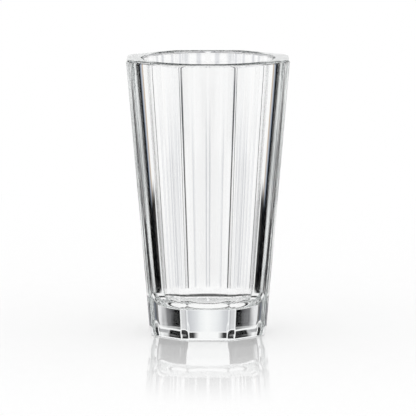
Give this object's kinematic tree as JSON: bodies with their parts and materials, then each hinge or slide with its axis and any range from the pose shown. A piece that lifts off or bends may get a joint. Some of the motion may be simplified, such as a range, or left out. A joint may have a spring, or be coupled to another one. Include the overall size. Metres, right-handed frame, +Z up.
{
  "type": "tumbler",
  "caption": "Tall tapered drinking tumbler of clear crystal, with flat facets down the outside, a round drinking space and a thick bevelled base.",
  "frame": {"origin": "centre of the face that the glass stands on", "axes": "+Z up along the axis of the glass, -Y towards the viewer with one facet facing it, +X to the right"},
  "size_m": [0.088, 0.088, 0.15],
  "materials": {
    "crystal": "clear, fire-polished crystal"
  },
  "bodies": {
    "root": {"bowl": "crystal", "base": "crystal"}
  },
  "joints": []
}
